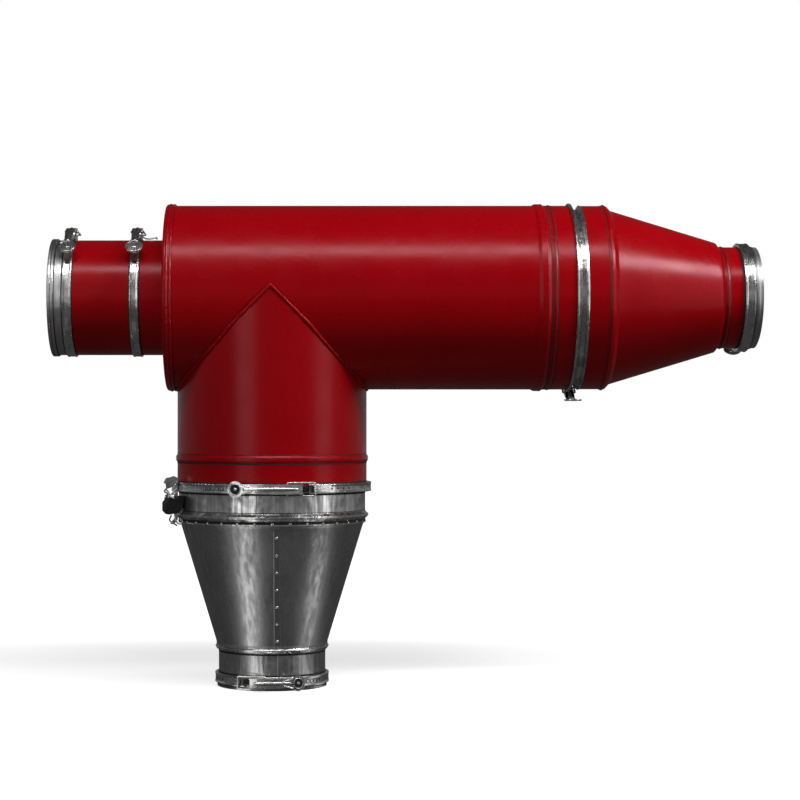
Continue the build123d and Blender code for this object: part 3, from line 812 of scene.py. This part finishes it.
class CYCLONE_OT_band_marks(bpy.types.Operator):
    """Stampings and punched holes along the clamp bands, painted shade round the stampings and
    under the paddles, and dark strips of painted shade between their ends
    """

    bl_idname = "cyclone.band_marks"
    bl_label = "Band Marks"

    def execute(self, context):
        raised, holes = [], []
        for clamp, radius, stamp_from, hole_from in BANDS:
            latch = Latch(clamp)
            floor = radius - 1.5 * MM
            for along in stamp_from - np.arange(5) * STAMP_PITCH:
                raised.append(box_on(latch, along, floor - 0.4 * MM, 0, STAMP))
                # Painted shade: a dark box round the foot of each stamping
                holes.append(box_on(latch, along, floor - 0.4 * MM, 0, STAMP_HOLLOW_SHADE))
            for along in hole_from + np.arange(4) * HOLE_PITCH:
                place = latch.at(along, floor + 0.05 * MM)
                holes.append(turned_profile(HOLE_PROFILE, place, latch.out(along), 12))
        for clamp in ("outlet_end_clamp", "outlet_duct_clamp"):
            # Painted shadow of the paddle on the band
            holes.append(box_on(Latch(clamp), -147 * MM, 127.8 * MM, 0, PADDLE_SHADOW))
        for clamp in LEVER_CLAMPS:
            # Painted shade between the band's ends
            holes += gap_shade_strips(clamp)
        add_piece("band_stampings", raised, "clamp_steel_upright", smooth=False)
        add_piece("band_holes_and_shade", holes, "dark_hole_and_painted_shade")
        return {"FINISHED"}


# The hanging catch: distance out from the leg's axis, distance to the front and height (mm)
CATCH_WIRES = (
    (1.7, ((221, 14.5, 441), (231, 15, 428), (222, 15, 421), (238, 14.5, 415), (226, 15, 409))),
    (1.7, ((223, -14.5, 439), (240, -14, 424), (229, -14, 417), (240, -14, 408))),
    (1.6, ((241, 0, 428), (236, 9, 421), (243, 4, 414), (233, 15, 418), (222, 15, 430))),
    (1.7, ((224, 9, 370), (222, 14, 360), (214, 16, 354), (208, 15, 360), (214, 13, 366))),
    (1.7, ((226, -8, 372), (231, -4, 362), (224, 3, 355), (217, 6, 350))),
)
GRIP_RIDGES = (
    (1.5, ((243, 13.2, 383), (232, 13.2, 401))),
    (1.5, ((231, 13.2, 389), (220, 13.2, 407))),
)
CHEEK_OUTLINE = ((217.5, 437), (243, 429), (245.5, 444), (239, 453), (227, 457), (217.5, 453))
CHEEK_SIDES = (11.2, 12.8)

# The wire on the air duct: x, y and height over the duct's top (mm)
SAFETY_WIRE = ((-281, -6, 6.5), (-274, -8, 2.5), (-262, -9, 2.3), (-253, -8, 4.5), (-250, -6, 1.5))


def smooth_path(rows, steps=8):
    """Catmull-Rom curve through the rows, as an array of points."""
    ends = np.concatenate([[2 * rows[0] - rows[1]], rows, [2 * rows[-1] - rows[-2]]])
    a, b, c, d = (ends[i:len(ends) - 3 + i, None] for i in range(4))
    t = np.linspace(0, 1, steps, endpoint=False)[None, :, None]
    curve = 0.5 * (2 * b + (c - a) * t + (2 * a - 5 * b + 4 * c - d) * t ** 2
                   + (3 * b - a - 3 * c + d) * t ** 3)
    return np.concatenate([curve.reshape(-1, 3), rows[-1:]])


def catch_place(rows):
    """Points of the catch, which hangs at a turn t in front of the left.

    Rows are distance out, distance to the front and height (m), where out is
    (-cos t, -sin t, 0) and the front is (sin t, -cos t, 0).
    """
    turn = np.radians(CATCH_TURN)
    out = np.array([-np.cos(turn), -np.sin(turn), 0])
    front = np.array([np.sin(turn), -np.cos(turn), 0])
    up = np.array([0, 0, 1.0])
    return rows[:, :1] * out + rows[:, 1:2] * front + rows[:, 2:] * up


def catch_wires(table):
    """Bent wires of the catch, each from its radius and its points (mm)."""
    return [tube(catch_place(smooth_path(np.array(rows, float) * MM)), radius * MM, 8)
            for radius, rows in table]


def catch_cheek():
    """A flat plate: the outline on two sides, each closed by a fan about its middle."""
    sides = [catch_place(np.insert(CHEEK_OUTLINE, 1, front, axis=1) * MM) for front in CHEEK_SIDES]
    count = len(CHEEK_OUTLINE)
    middles = [np.repeat(side.mean(axis=0)[None], count, axis=0) for side in sides]
    points = np.concatenate([middles[0], *sides, middles[1]])
    return points, grid_faces(4, count, False, True)


class CYCLONE_OT_catch_details(bpy.types.Operator):
    """Bent wires and cheek of the hanging catch, ridges on its grip and the wire on the duct"""

    bl_idname = "cyclone.catch_details"
    bl_label = "Catch Wires"

    def execute(self, context):
        steel, slot = "clamp_steel_upright", "clamp_steel"
        add_piece("side_catch_wires", catch_wires(CATCH_WIRES), steel)
        add_piece("side_catch_cheek", [catch_cheek()], steel, smooth=False)
        add_piece("side_catch_ridges", catch_wires(GRIP_RIDGES), "black_rubber")
        path = smooth_path(np.array(SAFETY_WIRE) * MM + [0, 0, STUB_HIGH[2]])
        add_piece("duct_safety_wire", [tube(path, 1.7 * MM, 8)], "clamp_steel_duct")
        return {"FINISHED"}


# piece, collar radius, place across the front, and the seam's foot and top (mm)
COLLAR_SEAMS = (
    ("hopper_collar_seam", 203.0, 39.0, (383, 422)),
    ("dust_collar_seam", 116.0, 14.0, (32, 76)),
)


class CYCLONE_OT_sheet_seams(bpy.types.Operator):
    """Upright seams of the rolled sheets of the hopper collar and of the dust outlet"""

    bl_idname = "cyclone.sheet_seams"
    bl_label = "Sheet Seams"

    def execute(self, context):
        for name, radius, x, (foot, top) in COLLAR_SEAMS:
            angle = np.arcsin(x / radius)
            z = np.linspace(foot, top, 12) * MM
            x_and_y = [np.full_like(z, side * radius * MM)
                       for side in (np.sin(angle), -np.cos(angle))]
            seam = tube(np.stack([*x_and_y, z], axis=1), 0.9 * MM, 8)
            add_piece(name, [seam], "bright_zinc")
        return {"FINISHED"}


# piece, material, slot, and for each rim: upright duct or not, place along the duct, radius (mm)
RIMS = (
    ("zinc_bead_rims", "lever_steel_upright", "bright_zinc",
     ((True, 373.4, 208.9), (True, 86.4, 122.2))),
    ("red_bead_rims", "crimson_weld_coat", "red_paint",
     ((False, 582.0, 202.6), (False, 599.0, 200.4), (False, 717.0, 200.7), (False, 976.0, 110.7),
      (True, 497.5, 208.3))),
)

# dark rings of painted shade in the joints: upright duct or not, place along the duct, skin radius
# and width (mm)
PAINTED_SHADE_GAPS = (
    (False, -470.2, 127.0, 1.0), (False, -462.8, 125.4, 1.8), (False, -446.2, 125.2, 2.0),
    (False, -424.0, 125.2, 1.8), (False, -303.0, 125.2, 1.8), (False, -280.8, 125.2, 2.2),
    (False, 1008.8, 110.2, 2.4), (False, 1033.2, 110.2, 2.4),
    (False, 590.2, 200.05, 1.6), (False, 594.8, 200.05, 1.0), (False, 603.4, 200.05, 1.4),
    (False, 710.6, 199.55, 1.2), (False, 971.2, 110.05, 1.0), (False, 981.2, 110.05, 1.2),
    (True, 360.6, 203.1, 5.2), (True, 420.8, 203.1, 4.4), (True, 444.6, 206.1, 2.0),
    (True, 31.4, 116.2, 2.4), (True, 382.0, 203.1, 1.2), (True, 76.0, 116.2, 2.8),
    (True, 484.4, 206.05, 2.2), (True, 503.6, 206.05, 1.0),
)
GAP_HEIGHT = 0.35 * MM


class CYCLONE_OT_joint_gaps(bpy.types.Operator):
    """Painted shade as dark rings in the gaps beside the clamp bands and the rolled lips, and the
    rims of the beads
    """

    bl_idname = "cyclone.joint_gaps"
    bl_label = "Joint Gaps"

    def execute(self, context):
        # Painted shade: thin dark rings where the joints fall into shade
        gaps = [flat_ring(upright, place * MM, radius * MM, width * MM, GAP_HEIGHT)
                for upright, place, radius, width in PAINTED_SHADE_GAPS]
        add_piece("joint_gaps", gaps, "dark_hole_and_painted_shade", smooth=False)
        turn = np.linspace(0, 2 * np.pi, 240, endpoint=False)
        for name, finish, slot, rims in RIMS:
            paths = [ring_path(upright, place * MM, radius * MM, turn)
                     for upright, place, radius in rims]
            add_piece(name, [tube(path, 1.3 * MM, 8, closed=True) for path in paths], finish)
        return {"FINISHED"}


# name, azimuth from the front (deg), height (m), distance (m), width and height (m), power (W)
LAMP_CENTRE = (0.25, 0.0, 0.75)
LAMPS = (
    ("upper_softbox", 2.0, 3.2, 1.62, (3.4, 0.45), 47.0),
    ("left_strip", -33.0, 1.5, 3.1, (1.15, 2.9), 13.0),
    ("right_strip", 62.0, 1.3, 2.9, (1.2, 2.6), 11.0),
    ("right_high", 64.0, 2.42, 2.35, (0.9, 0.5), 27.0),
)

# Glowing patches of the floor, a painted reflection seen only by glossy rays: azimuth and half
# width (deg), and strength
FLOOR_PATCHES = ((-33.0, 16.0, 1.0), (66.0, 15.0, 0.68))


class CYCLONE_OT_stage(bpy.types.Operator):
    """Pale floor and backdrop, soft lamps and the camera"""

    bl_idname = "cyclone.stage"
    bl_label = "Stage"

    def execute(self, context):
        scene = context.scene
        scene.view_settings.view_transform = "Standard"
        half = scene.cyclone_sizes.floor_half
        corners = [(-half, -half, 0), (half, -half, 0), (half, half, 0), (-half, half, 0)]
        make_mesh("studio_floor", corners, [(0, 1, 2, 3)], pale_floor())
        scene.world = dark_room()
        for name, azimuth, height, distance, size, power in LAMPS:
            turn = np.radians(azimuth)
            place = (LAMP_CENTRE[0] + distance * np.sin(turn), -distance * np.cos(turn), height)
            soft_lamp(name, place, size, power)
        make_camera(scene)
        return {"FINISHED"}


def seen_directly(tree, hidden, seen):
    """Chooses between two shaders: the second where the camera looks straight at the surface."""
    path = add_node(tree, "ShaderNodeLightPath")
    return mixed_shaders(tree, path.outputs["Is Camera Ray"], hidden, seen)


def mixed_shaders(tree, factor, first, second):
    """The first shader at a factor of 0 and the second at 1."""
    mix = add_node(tree, "ShaderNodeMixShader", Fac=factor)
    feed(tree, mix.inputs[1], first)
    feed(tree, mix.inputs[2], second)
    return mix.outputs["Shader"]


def pale_floor():
    """White to the camera, with the object's shadow on it, and dark to the object's reflections.

    In reflections each patch glows about its azimuth, and less far from the origin and at the
    end of a long ray: strength = max(patches * fade(distance) * fade(ray length), low).
    """
    s = Shader("pale_floor")
    across = add_node(s.tree, "ShaderNodeSeparateXYZ", Vector=s.place)
    to_front = s.math("MULTIPLY", across.outputs["Y"], -1.0)
    azimuth = s.math("ARCTAN2", across.outputs["X"], to_front)
    away = add_node(s.tree, "ShaderNodeVectorMath")
    away.operation = "LENGTH"
    feed(s.tree, away.inputs[0], s.place)
    distance = away.outputs["Value"]
    path = add_node(s.tree, "ShaderNodeLightPath")
    patches = []
    for turn, half_width, strength in FLOOR_PATCHES:
        off = s.math("ABSOLUTE", s.math("SUBTRACT", azimuth, np.radians(turn)))
        core, edge = np.radians(half_width * 0.4), np.radians(half_width)
        patches.append(s.ramp(off, core, edge, strength, 0.04))
    glowing = s.math("MULTIPLY", s.math("MAXIMUM", *patches), s.ramp(distance, 1.0, 1.5, 1.0, 0.1))
    ray_fade = s.ramp(path.outputs["Ray Length"], 0.58, 0.72, 1.0, 0.12)
    glowing = s.math("MAXIMUM", s.math("MULTIPLY", glowing, ray_fade), 0.05)
    glow = add_node(s.tree, "ShaderNodeEmission", Strength=glowing)
    dark = add_node(s.tree, "ShaderNodeBsdfDiffuse", Color=(0.1, 0.1, 0.1, 1))
    hidden = mixed_shaders(s.tree, path.outputs["Is Glossy Ray"], dark.outputs["BSDF"],
                           glow.outputs["Emission"])
    s.set(Base_Color=s.mix(s.noise(0.8, 2.0), (0.88, 0.88, 0.88), (0.92, 0.92, 0.92)),
          Roughness=0.9, Specular_IOR_Level=0.0, Emission_Color=(1, 1, 1, 1),
          Emission_Strength=s.ramp(distance, 0.5, 1.9, 0.72, 1.05))
    shader = seen_directly(s.tree, hidden, s.surface.outputs["BSDF"])
    feed(s.tree, s.tree.nodes["Material Output"].inputs["Surface"], shader)
    return s.material


def dark_room():
    """A world that is white behind the object and nearly black around it.

    In reflections it is grey at its horizon: strength = low + (high - low) *
    smoothstep(1 - |z| / spread).
    """
    world = bpy.data.worlds.new("dark_room")
    world.use_nodes = True
    tree = world.node_tree
    towards = add_node(tree, "ShaderNodeTexCoord").outputs["Generated"]
    height = add_node(tree, "ShaderNodeMath")
    height.operation = "ABSOLUTE"
    ray = add_node(tree, "ShaderNodeSeparateXYZ", Vector=towards)
    feed(tree, height.inputs[0], ray.outputs["Z"])
    band = add_node(tree, "ShaderNodeMapRange", Value=height.outputs["Value"], From_Min=0.03,
                    From_Max=0.4, To_Min=0.26, To_Max=0.03)
    band.interpolation_type = "SMOOTHSTEP"
    path = add_node(tree, "ShaderNodeLightPath")
    choice = add_node(tree, "ShaderNodeMix")
    glossy, horizon = path.outputs["Is Glossy Ray"], band.outputs["Result"]
    for index, value in ((0, glossy), (2, 0.014), (3, horizon)):
        feed(tree, choice.inputs[index], value)
    hidden = tree.nodes["Background"]
    fill_sockets(tree, hidden, {"Color": (1, 1, 1, 1), "Strength": choice.outputs[0]})
    seen = add_node(tree, "ShaderNodeBackground", Color=(1, 1, 1, 1))
    shader = seen_directly(tree, hidden.outputs["Background"], seen.outputs["Background"])
    feed(tree, tree.nodes["World Output"].inputs["Surface"], shader)
    return world


def soft_lamp(name, place, size, power):
    """A rectangular lamp at a place, turned to face the middle of the object."""
    lamp = bpy.data.lights.new(name, "AREA")
    lamp.shape = "RECTANGLE"
    lamp.size, lamp.size_y = size
    lamp.energy = power
    holder = bpy.data.objects.new(name, lamp)
    bpy.context.scene.collection.objects.link(holder)
    holder.location = place
    aim = Vector(LAMP_CENTRE) - Vector(place)
    holder.rotation_euler = aim.to_track_quat("-Z", "Y").to_euler()


def make_camera(scene):
    """Level camera on the front side, with the small shift that the photograph's framing has."""
    camera = bpy.data.cameras.new("photo_camera")
    camera.lens = 94.5
    camera.shift_x = 0.11
    camera.shift_y = 0.019
    holder = bpy.data.objects.new("photo_camera", camera)
    holder.location = (0.087, -4.582, 0.587)
    holder.rotation_euler = (np.pi / 2, 0, 0)
    scene.collection.objects.link(holder)
    scene.camera = holder


class CYCLONE_PT_panel(bpy.types.Panel):
    """Lists the steps that dress the cyclone"""

    bl_idname = "CYCLONE_PT_panel"
    bl_label = "Cyclone Separator"
    bl_space_type = "VIEW_3D"
    bl_region_type = "UI"
    bl_category = "Cyclone"

    def draw(self, context):
        for group in (context.scene.cyclone_sizes, context.scene.cyclone_finish):
            for name in group.__annotations__:
                self.layout.prop(group, name)
        for step in STEPS:
            self.layout.operator(step.bl_idname)


STEPS = (
    CYCLONE_OT_finishes, CYCLONE_OT_weld_beads, CYCLONE_OT_hopper_seams, CYCLONE_OT_lever_heads,
    CYCLONE_OT_band_marks, CYCLONE_OT_catch_details, CYCLONE_OT_sheet_seams,
    CYCLONE_OT_joint_gaps, CYCLONE_OT_stage,
)
CLASSES = (CycloneSizes, CycloneFinish, *STEPS, CYCLONE_PT_panel)


def register():
    for item in CLASSES:
        bpy.utils.register_class(item)
    bpy.types.Scene.cyclone_sizes = bpy.props.PointerProperty(type=CycloneSizes)
    bpy.types.Scene.cyclone_finish = bpy.props.PointerProperty(type=CycloneFinish)


def unregister():
    del bpy.types.Scene.cyclone_finish
    del bpy.types.Scene.cyclone_sizes
    for item in reversed(CLASSES):
        bpy.utils.unregister_class(item)


def main():
    register()
    for step in STEPS:
        group, name = step.bl_idname.split(".")
        getattr(getattr(bpy.ops, group), name)()


if __name__ == "__main__":
    main()
